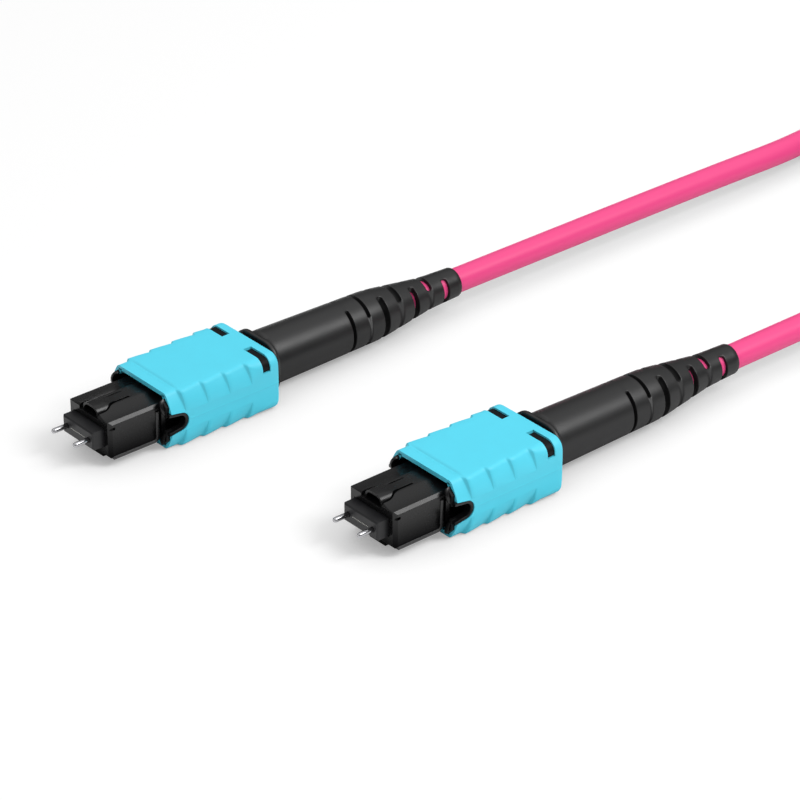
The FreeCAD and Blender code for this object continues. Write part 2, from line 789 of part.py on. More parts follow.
# The coil lies past the ends on the same floor, raised by the tie under it
turns_per_layer = coil_turns / coil_layers
coil_spread = turn_pitch * turns_per_layer
coil_outer_turn = coil_mean_diameter / 2 + coil_spread / 2
coil_inner_turn = coil_mean_diameter / 2 - coil_spread / 2
coil_outside = coil_outer_turn + cable_diameter / 2
coil_inside = coil_inner_turn - cable_diameter / 2
coil_floor = tie_thickness + tie_gap
lower_turn_z = coil_floor + cable_diameter / 2
upper_turn_z = lower_turn_z + turn_pitch * (coil_layers - 1)
coil_top = upper_turn_z + cable_diameter / 2


def cable_coil():
    """The outer shape of the spare cable, wound flat in two layers."""
    height = coil_top - coil_floor
    ring = flat_sided_rod(2 * coil_outside, coil_sides, 0, height)
    ring = ring.cut(flat_sided_rod(2 * coil_inside, coil_sides, 0, height))
    ring.rotate(Vector(0, 0, 0), Vector(1, 0, 0), 90)
    ring.translate(Vector(0, coil_centre_y, coil_floor))
    return ring


def coil_tie():
    """The strap round the coil, on the side away from the connectors."""
    half_width = tie_width / 2
    near = coil_centre_y + math.sqrt(coil_inside ** 2 - half_width ** 2) - tie_gap
    far = coil_centre_y + coil_outside + tie_gap
    top = coil_top + tie_gap
    outer = block(-half_width, half_width, near - tie_thickness, far + tie_thickness, 0, top + tie_thickness)
    inner = block(-half_width, half_width, near, far, tie_thickness, top)
    return outer.cut(inner)


def lead_points(end, bends, side, turn_z):
    """The points of one lead: from the crimp over its bends to the coil's outermost turn."""
    start = end_places[end] + Vector(0, jacket_front, 0)
    points = [start]
    for across, y, rise in bends:
        points.append(Vector(start.x + across, y, start.z + rise))
    points.append(Vector(side * coil_outer_turn, coil_centre_y - lead_end_setback, turn_z))
    return points


def save(shape, node):
    """Write one piece, after checking that it is one sound solid."""
    if len(shape.Solids) != 1 or not shape.isValid():
        print("CHECK", node, "solids", len(shape.Solids), "valid", shape.isValid())
    shape.exportStep("parts/" + node + ".step")


connector_pieces = {
    "inner_housing": inner_housing(),
    "release_sleeve": release_sleeve(),
    "grip_cover": grip_cover(),
    "ferrule": ferrule(),
    "guide_pin_left": pin_at(-1),
    "guide_pin_right": pin_at(1),
    "pin_clamp": pin_clamp(),
    "ferrule_boot": ferrule_boot(),
    "ferrule_spring": ferrule_spring(),
    "fibre_ribbon": fibre_ribbon(),
    "spring_push": spring_push(),
    "crimp_ring": crimp_ring(),
    "strain_boot": strain_boot(),
}
right_spring, left_spring = both_sides(side_spring())
connector_pieces["sleeve_spring_right"] = right_spring
connector_pieces["sleeve_spring_left"] = left_spring

for end, place in end_places.items():
    for name, piece in connector_pieces.items():
        placed = piece.copy()
        placed.translate(place)
        save(placed, name + "_" + end)

lead_a_points = lead_points("a", lead_a_bends, -1, lower_turn_z)
lead_b_points = lead_points("b", lead_b_bends, 1, upper_turn_z)
save(cable_tube(lead_a_points, "cable_lead_a"), "cable_lead_a")
save(cable_tube(lead_b_points, "cable_lead_b"), "cable_lead_b")
save(cable_coil(), "cable_coil")
save(coil_tie(), "coil_tie")
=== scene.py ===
import json
import math
import bmesh
import bpy
import numpy as np
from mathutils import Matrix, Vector


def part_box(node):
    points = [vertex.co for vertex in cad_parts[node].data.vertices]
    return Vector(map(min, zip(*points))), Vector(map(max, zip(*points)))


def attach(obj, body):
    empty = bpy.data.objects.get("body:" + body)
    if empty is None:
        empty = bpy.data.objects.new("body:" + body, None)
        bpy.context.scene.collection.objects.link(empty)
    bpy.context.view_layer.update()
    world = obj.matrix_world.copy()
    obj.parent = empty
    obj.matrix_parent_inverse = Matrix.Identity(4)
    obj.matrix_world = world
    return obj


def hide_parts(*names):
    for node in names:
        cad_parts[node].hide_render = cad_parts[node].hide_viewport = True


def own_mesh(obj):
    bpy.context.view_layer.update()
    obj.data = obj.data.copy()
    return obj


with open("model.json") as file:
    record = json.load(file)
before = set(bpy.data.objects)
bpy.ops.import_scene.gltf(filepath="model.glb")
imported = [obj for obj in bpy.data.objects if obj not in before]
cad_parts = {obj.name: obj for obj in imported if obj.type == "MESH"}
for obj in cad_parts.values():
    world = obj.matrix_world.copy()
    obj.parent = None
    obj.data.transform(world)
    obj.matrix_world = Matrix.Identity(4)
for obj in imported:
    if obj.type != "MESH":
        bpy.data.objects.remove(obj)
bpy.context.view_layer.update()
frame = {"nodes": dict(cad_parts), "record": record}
scene = bpy.context.scene
scene.view_settings.view_transform = "Standard"
mm = 0.001
plugPlaces = {"a": (-19.7, -35.15, 4.05), "b": (19.7, -21.55, 4.05)}  # front of each nose on its axis, mm
print("frame loaded:", len(frame["nodes"]), "nodes")

# the camera looks down over the front right of both plugs
view = {
    "azimuth": 49.778,
    "elevation": 29.928,
    "distance": 466.5,
    "focalPixels": 3623.7,
    "pictureWidth": 800,
    "sensor": 36.0,
    "target": (-1.299, 0.721, 2.889),
    "clipStart": 0.01,  # metres
}
turn, tilt = math.radians(view["azimuth"]), math.radians(view["elevation"])
backward = Vector((math.sin(turn) * math.cos(tilt), -math.cos(turn) * math.cos(tilt), math.sin(tilt)))
camera = bpy.data.objects.new("camera", bpy.data.cameras.new("camera"))
scene.collection.objects.link(camera)
camera.data.sensor_width = view["sensor"]
camera.data.lens = view["focalPixels"] / view["pictureWidth"] * view["sensor"]
camera.data.clip_start = view["clipStart"]
camera.location = (Vector(view["target"]) + backward * view["distance"]) * mm
camera.rotation_euler = backward.to_track_quat("Z", "Y").to_euler()
scene.camera = camera
print("camera set")


# colour written as 0 to 255 screen values, turned into linear light
def screen(r, g, b):
    c = np.array((r, g, b), float) / 255
    lin = np.where(c <= 0.04045, c / 12.92, ((c + 0.055) / 1.055) ** 2.4)
    return (*lin.tolist(), 1.0)


# one node that works out a sum, with plain numbers on the sockets that have no link
def mathNode(tree, operation, *values):
    node = tree.nodes.new("ShaderNodeMath")
    node.operation = operation
    for socket, value in zip(node.inputs, values):
        if isinstance(value, bpy.types.NodeSocket):
            tree.links.new(value, socket)
        else:
            socket.default_value = value
    return node.outputs[0]


# a smooth ramp from one level to another
def rampNode(tree, value, start, stop, low, high):
    node = tree.nodes.new("ShaderNodeMapRange")
    node.interpolation_type = "SMOOTHSTEP"
    for name, number in (("From Min", start), ("From Max", stop), ("To Min", low), ("To Max", high)):
        node.inputs[name].default_value = number
    tree.links.new(value, node.inputs["Value"])
    return node.outputs["Result"]


# the skin of moulded pieces, with noise scales in cells per metre, and where the painted reflection fades
skinLook = {
    "grainSize": 9000.0,
    "grainDetail": 2.0,
    "grainDepth": 0.004,  # mm
    "cloudSize": 420.0,
    "cloudDetail": 3.0,
    "cloudGloss": 0.12,  # how far the clouds change the roughness
    "bump": 0.25,
    "paintedGlossHeights": (1.2, 6.6),  # painted reflection: gloss fades downwards between these heights, mm
    "paintedGlossFacing": (0.5, 0.95),  # painted reflection also fades towards the outline, between these turns away from the eye
    "paintedOutlineGloss": 0.15,
}


# skin group: fine grain as a height, faint cloudiness as a tone, both from noise on object coordinates
def mouldedSkinGroup():
    group = bpy.data.node_groups.new("mouldedSkin", "ShaderNodeTree")
    number, colour = "NodeSocketFloat", "NodeSocketColor"
    for name, kind in (("Colour", colour), ("Cloud", number), ("Grain size", number), ("Roughness", number)):
        group.interface.new_socket(name, in_out="INPUT", socket_type=kind)
    for name, kind in (("Colour", colour), ("Roughness", number), ("Height", number)):
        group.interface.new_socket(name, in_out="OUTPUT", socket_type=kind)
    nodes, links = group.nodes, group.links
    inputs, outputs = nodes.new("NodeGroupInput"), nodes.new("NodeGroupOutput")
    place = nodes.new("ShaderNodeTexCoord")
    grain = nodes.new("ShaderNodeTexNoise")
    grain.inputs["Detail"].default_value = skinLook["grainDetail"]
    links.new(place.outputs["Object"], grain.inputs["Vector"])
    links.new(inputs.outputs["Grain size"], grain.inputs["Scale"])
    cloud = nodes.new("ShaderNodeTexNoise")
    cloud.inputs["Scale"].default_value = skinLook["cloudSize"]
    cloud.inputs["Detail"].default_value = skinLook["cloudDetail"]
    links.new(place.outputs["Object"], cloud.inputs["Vector"])
    centred = mathNode(group, "SUBTRACT", cloud.outputs["Fac"], 0.5)
    amount = mathNode(group, "MULTIPLY_ADD", centred, inputs.outputs["Cloud"], 1.0)
    tone = nodes.new("ShaderNodeVectorMath")
    tone.operation = "SCALE"
    links.new(inputs.outputs["Colour"], tone.inputs[0])
    links.new(amount, tone.inputs["Scale"])
    links.new(tone.outputs["Vector"], outputs.inputs["Colour"])
    roughness = mathNode(group, "MULTIPLY_ADD", centred, skinLook["cloudGloss"], inputs.outputs["Roughness"])
    links.new(roughness, outputs.inputs["Roughness"])
    links.new(grain.outputs["Fac"], outputs.inputs["Height"])
    return group


mouldedSkin = mouldedSkinGroup()


# a plastic or rubber finish from the moulded skin group, with an optional painted reflection that fades
# downwards and towards the outline
def mouldedFinish(name, colour, roughness, cloud=0.05, specular=0.4, paintedUnderGloss=None, bounce=None):
    material = bpy.data.materials.new(name)
    material.use_nodes = True
    nodes, links = material.node_tree.nodes, material.node_tree.links
    shader = nodes["Principled BSDF"]
    shader.inputs["Specular IOR Level"].default_value = specular
    if paintedUnderGloss is not None:  # painted reflection: gloss that fades down to the underside of the part and towards its outline
        tree, facing = material.node_tree, nodes.new("ShaderNodeLayerWeight").outputs["Facing"]
        level, height = nodes.new("ShaderNodeTexCoord"), nodes.new("ShaderNodeSeparateXYZ")
        links.new(level.outputs["Object"], height.inputs["Vector"])
        low, high = (z * mm for z in skinLook["paintedGlossHeights"])
        gloss = rampNode(tree, height.outputs["Z"], low, high, paintedUnderGloss, specular)
        outline = rampNode(tree, facing, *skinLook["paintedGlossFacing"], 1.0, skinLook["paintedOutlineGloss"])
        links.new(mathNode(tree, "MULTIPLY", gloss, outline), shader.inputs["Specular IOR Level"])
    skin = nodes.new("ShaderNodeGroup")
    skin.name = "skin"
    skin.node_tree = mouldedSkin
    skin.inputs["Colour"].default_value = colour
    skin.inputs["Cloud"].default_value = cloud
    skin.inputs["Grain size"].default_value = skinLook["grainSize"]
    skin.inputs["Roughness"].default_value = roughness
    bump = nodes.new("ShaderNodeBump")
    bump.name = "bump"
    bump.inputs["Strength"].default_value = skinLook["bump"]
    bump.inputs["Distance"].default_value = skinLook["grainDepth"] * mm
    links.new(skin.outputs["Colour"], shader.inputs["Base Color"])
    if bounce is not None:  # the light that the piece throws back on the floor stays pale grey
        rays, mix = nodes.new("ShaderNodeLightPath"), nodes.new("ShaderNodeMix")
        mix.data_type = "RGBA"
        mix.inputs[7].default_value = bounce  # sockets 0, 6 and 7: factor and both colours
        links.new(rays.outputs["Is Diffuse Ray"], mix.inputs[0])
        links.new(skin.outputs["Colour"], mix.inputs[6])
        links.new(mix.outputs[2], shader.inputs["Base Color"])
    links.new(skin.outputs["Roughness"], shader.inputs["Roughness"])
    links.new(skin.outputs["Height"], bump.inputs["Height"])
    links.new(bump.outputs["Normal"], shader.inputs["Normal"])
    return material


# marks on metal: cells per metre, how far they are drawn out, how far they change the roughness
metalLook = {"markSize": 12000.0, "stretch": 0.05, "spread": 0.2}


# a metal finish with fine marks along the plug's axis
def metalFinish(name, colour, roughness):
    material = bpy.data.materials.new(name)
    material.use_nodes = True
    nodes, links = material.node_tree.nodes, material.node_tree.links
    shader = nodes["Principled BSDF"]
    shader.inputs["Metallic"].default_value = 1.0
    shader.inputs["Base Color"].default_value = colour
    place, mapping = nodes.new("ShaderNodeTexCoord"), nodes.new("ShaderNodeMapping")
    mapping.inputs["Scale"].default_value = (1.0, metalLook["stretch"], 1.0)
    marks, ramp = nodes.new("ShaderNodeTexNoise"), nodes.new("ShaderNodeMapRange")
    marks.inputs["Scale"].default_value = metalLook["markSize"]
    ramp.inputs["To Min"].default_value = roughness * (1 - metalLook["spread"])
    ramp.inputs["To Max"].default_value = roughness * (1 + metalLook["spread"])
    links.new(place.outputs["Object"], mapping.inputs["Vector"])
    links.new(mapping.outputs["Vector"], marks.inputs["Vector"])
    links.new(marks.outputs["Fac"], ramp.inputs["Value"])
    links.new(ramp.outputs["Result"], shader.inputs["Roughness"])
    return material


# the strap's weave: threads cross as the product of two sines, one across the strap and one along it
weave = {
    "thread": 0.5,  # mm
    "depth": 0.06,  # mm
    "strength": 0.6,
    "shade": 0.35,  # tone left in the gaps
    "specular": 0.2,
}


# a woven finish: the crossing threads give the height and darken the gaps between them
def wovenFinish(name, colour, roughness):
    material = mouldedFinish(name, colour, roughness, specular=weave["specular"])
    tree = material.node_tree
    shader, skin, bump = (tree.nodes[part] for part in ("Principled BSDF", "skin", "bump"))
    place, parts = tree.nodes.new("ShaderNodeTexCoord"), tree.nodes.new("ShaderNodeSeparateXYZ")
    tree.links.new(place.outputs["Object"], parts.inputs["Vector"])
    perMetre = math.pi / (weave["thread"] * mm)
    across = mathNode(tree, "SINE", mathNode(tree, "MULTIPLY", parts.outputs["X"], perMetre))
    along = mathNode(tree, "ADD", parts.outputs["Y"], parts.outputs["Z"])
    along = mathNode(tree, "SINE", mathNode(tree, "MULTIPLY", along, perMetre))
    crossing = mathNode(tree, "ABSOLUTE", mathNode(tree, "MULTIPLY", across, along))
    tone = tree.nodes.new("ShaderNodeVectorMath")
    tone.operation = "SCALE"
    tree.links.new(skin.outputs["Colour"], tone.inputs[0])
    tree.links.new(rampNode(tree, crossing, 0.0, 1.0, weave["shade"], 1.0), tone.inputs["Scale"])
    tree.links.new(tone.outputs["Vector"], shader.inputs["Base Color"])
    bump.inputs["Strength"].default_value = weave["strength"]
    bump.inputs["Distance"].default_value = weave["depth"] * mm
    tree.links.new(crossing, bump.inputs["Height"])
    return material


paleBounce = {"grip": (0.3, 0.3, 0.3, 1), "cable": (0.2, 0.2, 0.2, 1)}  # light thrown on the floor
finishes = {
    # the grip, black housing, boot and cable carry the painted reflection that fades downwards and towards
    # the outline
    "aqua_grip": mouldedFinish("aquaGrip", screen(91, 225, 251), 0.45, paintedUnderGloss=0.1, bounce=paleBounce["grip"]),
    "black_housing": mouldedFinish("blackHousing", screen(12, 12, 13), 0.27, cloud=0.15, paintedUnderGloss=0.02),
    "boot_rubber": mouldedFinish("bootRubber", screen(15, 15, 16), 0.4, cloud=0.15, specular=0.6, paintedUnderGloss=0.03),
    "ferrule_compound": mouldedFinish("ferruleCompound", screen(28, 28, 30), 0.4, cloud=0.2),
    # a duller copy of the black plastic: painted shade, so the sleeve seen through the grip's windows looks
    # darker
    "black_shaded_inside": mouldedFinish("blackShadedInside", screen(13, 13, 14), 0.5, cloud=0.15, specular=0.15),
    # a lighter, glossier copy of the black plastic: painted light, so the nose rails look lit
    "black_lit_edge": mouldedFinish("blackLitEdge", screen(38, 38, 39), 0.33, cloud=0.15, specular=0.5),
    "soft_rubber": mouldedFinish("softRubber", screen(40, 40, 40), 0.6),
    "cable_jacket": mouldedFinish("cableJacket", screen(252, 80, 146), 0.36, cloud=0.03, paintedUnderGloss=0.05,
                                  bounce=paleBounce["cable"]),
    "ribbon_coating": mouldedFinish("ribbonCoating", screen(228, 228, 220), 0.4),
    "tie_fabric": wovenFinish("tieFabric", screen(46, 46, 47), 0.8),
    "pin_steel": metalFinish("pinSteel", screen(178, 178, 181), 0.13),
    "clamp_steel": metalFinish("clampSteel", screen(190, 190, 192), 0.35),
    "spring_steel": metalFinish("springSteel", screen(195, 195, 197), 0.3),
    "plated_brass": metalFinish("platedBrass", screen(212, 205, 190), 0.3),
}
slotOf = {row["node"]: row["material_slot"] for row in frame["record"]["subparts"]}
for name, node in frame["nodes"].items():
    node.data.materials.clear()
    node.data.materials.append(finishes[slotOf[name]])
print("finishes made:", len(finishes))


# dresses a new piece: links it, gives it its own finish or its slot's, puts it under its body and hides the
# nodes that it stands for
def dress(piece, body, slot, *nodes, finish=None):
    scene.collection.objects.link(piece)
    piece.data.materials.append(finishes[finish or slot])
    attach(piece, body)
    if nodes:
        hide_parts(*nodes)
    return piece


sharpFrom = {"swept": 40, "moulded": 32, "grip": 60}  # edges sharper than this are shown as edges, degrees
edgeSteps = 2  # faces across a rounded edge
tiny = 1e-9  # keeps a divisor off zero


# a cosine or sine drawn towards its extremes, which makes a round section squarer
def squarer(wave, power):
    return np.sign(wave) * np.abs(wave) ** power


# a mesh object from a grid of points, closed both along its rows and across its columns
def ringGrid(name, points):
    rows, columns = points.shape[:2]
    index = np.arange(rows * columns).reshape(rows, columns)
    right, up = np.roll(index, -1, 1), np.roll(index, -1, 0)
    across = np.roll(right, -1, 0)
    quads = np.stack([index, right, across, up], -1).reshape(-1, 4)
    mesh = bpy.data.meshes.new(name)
    mesh.from_pydata(points.reshape(-1, 3) * mm, [], quads)
    mesh.shade_smooth()
    return bpy.data.objects.new(name, mesh)


# a mesh object from a grid of points that runs on from row to row and has a flat face at each end
def cappedGrid(name, points):
    rows, columns = points.shape[:2]
    index = np.arange(rows * columns).reshape(rows, columns)
    right = np.roll(index, -1, 1)
    quads = np.stack([index[:-1], right[:-1], right[1:], index[1:]], -1).reshape(-1, 4)
    caps = [index[0, ::-1].tolist(), index[-1].tolist()]
    mesh = bpy.data.meshes.new(name)
    mesh.from_pydata(points.reshape(-1, 3) * mm, [], quads.tolist() + caps)
    mesh.shade_smooth()
    mesh.set_sharp_from_angle(angle=math.radians(sharpFrom["swept"]))
    return bpy.data.objects.new(name, mesh)


# a light bevel on every edge sharper than the given angle
def roundEdges(piece, width, angle):
    rounding = piece.modifiers.new("edges", "BEVEL")
    rounding.width = width * mm
    rounding.segments = edgeSteps
    rounding.limit_method = "ANGLE"
    rounding.angle_limit = math.radians(angle)
    rounding.harden_normals = True


# distance from the axis to a rectangle with rounded corners, along each angle
def roundedRectangle(halfWidth, halfHeight, corner, angle):
    c, s = np.abs(np.cos(angle)), np.abs(np.sin(angle))
    flat = np.minimum(halfWidth / np.maximum(c, tiny), halfHeight / np.maximum(s, tiny))
    x, z = halfWidth - corner, halfHeight - corner
    along = x * c + z * s
    arc = along + np.sqrt(np.maximum(along ** 2 - x * x - z * z + corner ** 2, 0))
    inCorner = (flat * c > x) & (flat * s > z)
    return np.where(inCorner, arc, flat)


# pieces that keep their own form: width of the rounded edges, mm
edgeRounds = {"release_sleeve": 0.06, "inner_housing": 0.06, "ferrule": 0.06, "spring_push": 0.08}
mergeStep = 1e-7  # corners nearer than this are one, m
flatWithin = 1.0  # faces that meet at less than this are one, degrees


# the moulded copy of a CAD node: triangles merged, flats joined into whole faces, edges lightly rounded
def mouldedCopy(name, end, body, finish=None):
    nodeName = f"{name}_{end}"
    source = frame["nodes"][nodeName].data
    corners = np.empty(len(source.vertices) * 3)
    source.vertices.foreach_get("co", corners)
    triangles = np.empty(len(source.loop_triangles) * 3, int)
    source.loop_triangles.foreach_get("vertices", triangles)
    keys = np.round(corners.reshape(-1, 3) / mergeStep).astype(int)
    merged, link = np.unique(keys, axis=0, return_inverse=True)
    faces = link.ravel()[triangles].reshape(-1, 3)
    whole = (faces[:, 0] != faces[:, 1]) & (faces[:, 1] != faces[:, 2]) & (faces[:, 0] != faces[:, 2])
    mesh = bpy.data.meshes.new(nodeName + "Skin")
    mesh.from_pydata(merged * mergeStep, [], faces[whole])
    shape = bmesh.new()
    shape.from_mesh(mesh)
    flat = math.radians(flatWithin)
    bmesh.ops.dissolve_limit(shape, angle_limit=flat, verts=shape.verts, edges=shape.edges)
    shape.to_mesh(mesh)
    shape.free()
    mesh.shade_smooth()
    mesh.set_sharp_from_angle(angle=math.radians(sharpFrom["moulded"]))
    piece = bpy.data.objects.new(nodeName + "Skin", mesh)
    roundEdges(piece, edgeRounds[name], sharpFrom["moulded"])
    return dress(piece, body, slotOf[nodeName], nodeName, finish=finish)


# the cable: two leads and the spare length wound flat in two layers, inwards below and outwards above
cable = {
    "diameter": 3.5,
    "length": 933.0,
    "leadA": ((-19.7, -3.0, 4.05), (-19.7, 40.0, 4.05), (-19.7, 76.0, 4.0), (-19.9, 92.0, 3.5),
              (-23.52, 107.4, 2.41)),
    "leadB": ((23.52, 107.4, 5.96), (19.85, 85.0, 4.25), (19.7, 47.0, 4.05), (19.7, 10.6, 4.05)),
    "coilCentre": (0.0, 118.0),
    "meanRadius": 17.75,
    "turns": 6.5,
    "turnPitch": 3.55,
    "layerHeights": (2.41, 5.96),
    "pointsPerTurn": 16,
    "riseTurns": 0.5,
    "smoothness": 8,  # steps along and round the tube
}


# coil points: radius falls evenly to the inner turn and grows again, height climbs one layer half way
def coilPoints():
    perTurn, turns = cable["pointsPerTurn"], cable["turns"]
    done = np.arange(int(perTurn * turns) + 1) / perTurn
    middle = turns / 2
    spread = cable["turnPitch"] * middle
    radius = cable["meanRadius"] - spread / 2 + spread * np.abs(done - middle) / middle
    radius = radius / math.cos(math.pi / perTurn)  # the spline runs through the middles of the chords
    low, high = cable["layerHeights"]
    climb = np.clip((done - middle) / cable["riseTurns"] + 0.5, 0, 1)
    height = low + (high - low) * climb * climb * (3 - 2 * climb)
    angle = math.pi - 2 * math.pi * done
    x = cable["coilCentre"][0] + radius * np.cos(angle)
    y = cable["coilCentre"][1] + radius * np.sin(angle)
    return np.stack([x, y, height], -1)


cablePoints = np.concatenate([np.array(cable["leadA"]), coilPoints(), np.array(cable["leadB"])]) * mm
cableCurve = bpy.data.curves.new("cable", "CURVE")
cableCurve.dimensions = "3D"
cableLine = cableCurve.splines.new("NURBS")
cableLine.points.add(len(cablePoints) - 1)
cableLine.points.foreach_set("co", np.column_stack([cablePoints, np.ones(len(cablePoints))]).ravel())
cableLine.order_u = 3
cableLine.use_endpoint_u = True
cableLine.resolution_u = cable["smoothness"]
cableCurve.bevel_depth = cable["diameter"] / 2 * mm
cableCurve.bevel_resolution = cable["smoothness"]
cableCurve.use_fill_caps = True
cablePiece = bpy.data.objects.new("cable", cableCurve)
dress(cablePiece, "cable_assembly", "cable_jacket", "cable_lead_a", "cable_lead_b", "cable_coil")

# the strap round the coil: a woven band with one end lapped over the other on top
tie = {
    "middle": (135.29, 4.185),  # y and z
    "halfLength": 7.69,
    "halfHeight": 4.185,
    "corner": 2.2,
    "halfWidth": 2.5,
    "thickness": 0.45,
    "lap": 0.15,
    "lapFrom": -4.0,
    "lapTo": 4.5,
    "flatSides": 0.25,  # powers that square the section across and through
    "flatFaces": 0.5,
    "around": 160,
    "section": 20,
}


# strap surface: a flat oblong section with round edges, carried along a rectangle with round corners
def tieStrap():
    place = np.linspace(0, 2 * math.pi, tie["around"], endpoint=False)
    halfLength, halfHeight = tie["halfLength"] - tie["lap"], tie["halfHeight"] - tie["lap"]
    reach = roundedRectangle(halfLength, halfHeight, tie["corner"], place)
    along, height = reach * np.cos(place), reach * np.sin(place)
    ahead = np.stack([np.roll(along, -1) - np.roll(along, 1), np.roll(height, -1) - np.roll(height, 1)], -1)
    ahead /= np.linalg.norm(ahead, axis=1, keepdims=True)
    onTop = (height > 0) & (along > tie["lapFrom"]) & (along < tie["lapTo"])
    outside = tie["lap"] * onTop
    turnBy = np.linspace(0, 2 * math.pi, tie["section"], endpoint=False)
    across = squarer(np.cos(turnBy), tie["flatSides"]) * tie["halfWidth"]
    depth = (squarer(np.sin(turnBy), tie["flatFaces"]) - 1) / 2
    lift = outside[:, None] + depth[None, :] * (tie["thickness"] + outside[:, None])
    y = tie["middle"][0] + along[:, None] + lift * ahead[:, 1:2]
    z = tie["middle"][1] + height[:, None] - lift * ahead[:, 0:1]
    x = np.broadcast_to(across[None, :], y.shape)
    return ringGrid("tieStrap", np.stack([x, y, z], -1)[::-1])


tiePiece = dress(tieStrap(), "cable_assembly", "tie_fabric", "coil_tie")
print("cable laid:", len(cablePoints), "points")

# the strain relief boot: a flange, a body that narrows in three stages, and seven rings of slots in pairs
boot = {
    "front": 26.75,
    "rear": 60.8,
    "profile": ((26.75, 7.7), (46.35, 7.0), (55.6, 4.55), (60.8, 4.15)),  # place along the axis, diameter
    "blend": 1.2,
    "blendSteps": 9,
    "flange": {"halfWidth": 4.4, "halfHeight": 3.7, "corner": 2.7, "length": 0.7, "edge": 0.12},
    "ringLast": 58.0,
    "ringPitch": 2.88,
    "ringWidths": (0.55, 0.55, 0.95, 0.95, 0.95, 0.95, 0.95),
    "ringReach": (64, 60, 68, 54, 68, 55, 60),  # half the angle that each slot covers, degrees
    "slotFloors": (2.1, 2.1, 2.1, 2.1, 1.2, 1.2, 1.2),
    "slotEdge": 0.06,
    "slotRound": ((1.0, 0.0), (0.3, 0.3), (0.0, 1.0)),  # of that edge: back from the wall, down
    "slotLeast": 0.02,  # share of its width below which a slot has ended
    "slotSeam": 0.004,  # half the gap between its rows there
    "wallStep": 0.003,
    "bodyStart": 0.1,  # behind the flange
    "bodyStep": 0.05,
    "tailEdge": 0.22,
    "tailRows": 5,
    "bore": 1.8,
    "boreDepth": 0.8,
    "coreRadius": 0.9,  # the hidden wall inside
    "coreStep": 0.1,
    "coreFront": 1.0,
    "frontRim": 1.0,  # from the bore to the inner edge of the front face
    "columns": 240,
    "rowStep": 0.6,
}


# boot radius along the axis: straight stages blended by averaging over a short stretch
def bootRadius(y):
    places, diameters = np.array(boot["profile"]).T
    offsets = np.linspace(-boot["blend"], boot["blend"], boot["blendSteps"])
    return np.interp(np.asarray(y)[..., None] + offsets, places, diameters).mean(-1) / 2


# boot surface: radius over angle and place, with slots as dips that have steep walls and round ends
def strainBoot(end):
    angle = np.linspace(0, 2 * math.pi, boot["columns"], endpoint=False)
    ones = np.ones_like(angle)
    rows, radii = [], []

    def addRow(y, radius):
        rows.append(y * ones)
        radii.append(radius * ones)

    flange = boot["flange"]
    rim = roundedRectangle(flange["halfWidth"], flange["halfHeight"], flange["corner"], angle)
    flangeRear = boot["front"] + flange["length"]
    addRow(boot["front"], boot["bore"] + boot["frontRim"])
    addRow(boot["front"], rim - flange["edge"])
    addRow(boot["front"] + flange["edge"], rim)
    addRow(flangeRear - flange["edge"], rim)
    addRow(flangeRear, rim - flange["edge"])
    addRow(flangeRear, np.minimum(bootRadius(flangeRear) + boot["bodyStep"], rim - flange["edge"]))
    last, edge = flangeRear + boot["bodyStart"], boot["slotEdge"]
    addRow(last, bootRadius(last))
    rings = tuple(zip(boot["ringWidths"], boot["ringReach"], boot["slotFloors"]))
    for ring, (width, reach, floor) in enumerate(rings):
        middle = boot["ringLast"] - (len(rings) - 1 - ring) * boot["ringPitch"]
        first = middle - width / 2 - 2 * edge
        steps = max(int((first - last) / boot["rowStep"]), 1)
        for y in np.linspace(last, first, steps + 1)[1:]:
            addRow(y, bootRadius(y))
        turned = angle if ring % 2 == 0 else angle - math.pi / 2
        away = np.arccos(np.clip(np.abs(np.cos(turned)), 0, 1))  # angle from the slot's middle
        radius = bootRadius(middle)
        arcLeft = (math.radians(reach) - away) * radius  # arc length left to the slot's end
        opening = np.clip(arcLeft / (width / 2), 0, 1)
        share = np.sqrt(np.clip(1 - (1 - opening) ** 2, 0, 1))  # half round ends
        cut = share > boot["slotLeast"]
        halfSlot = np.maximum(width / 2 * share, boot["slotSeam"])
        for back, down in boot["slotRound"]:
            y = middle - halfSlot - back * edge * share
            addRow(y, bootRadius(y) - down * edge * cut)
        for sign in (-1, 1):
            y = middle + sign * (halfSlot - boot["wallStep"])
            addRow(y, np.where(cut, floor, bootRadius(y)))
        for back, down in reversed(boot["slotRound"]):
            y = middle + halfSlot + back * edge * share
            addRow(y, bootRadius(y) - down * edge * cut)
        last = middle + width / 2 + 2 * edge
        addRow(last, bootRadius(last))
    tail = boot["tailEdge"]
    for y in np.linspace(last, boot["rear"] - tail, boot["tailRows"])[1:]:
        addRow(y, bootRadius(y))
    for part in (0.5, 1.0):  # quarter round at the tail
        bend = part * math.pi / 2
        inset = tail * (1 - math.cos(bend))
        addRow(boot["rear"] - tail + tail * math.sin(bend), bootRadius(boot["rear"]) - inset)
    boreEnd = boot["rear"] - boot["boreDepth"]
    addRow(boot["rear"], boot["bore"])
    addRow(boreEnd, boot["bore"])
    addRow(boreEnd - boot["coreStep"], boot["coreRadius"])
    addRow(boot["front"] + boot["coreFront"], boot["coreRadius"])
    y, r = np.array(rows), np.array(radii)
    x0, y0, z0 = plugPlaces[end]
    points = np.stack([x0 + r * np.cos(angle), y0 + y, z0 + r * np.sin(angle)], -1)
    piece = ringGrid("strainBoot_" + end, points[::-1])
    return dress(piece, "cable_assembly", "boot_rubber", "strain_boot_" + end)


# guide pins: a round rod whose tip narrows in a smooth curve
pin = {
    "pitch": 4.6,
    "radius": 0.35,
    "tip": -4.1,
    "tipLength": 0.5,
    "tipRadius": 0.19,
    "tipRows": 12,
    "rear": 2.0,
    "pole": 1e-3,  # radius at which both ends close
    "columns": 40,
}


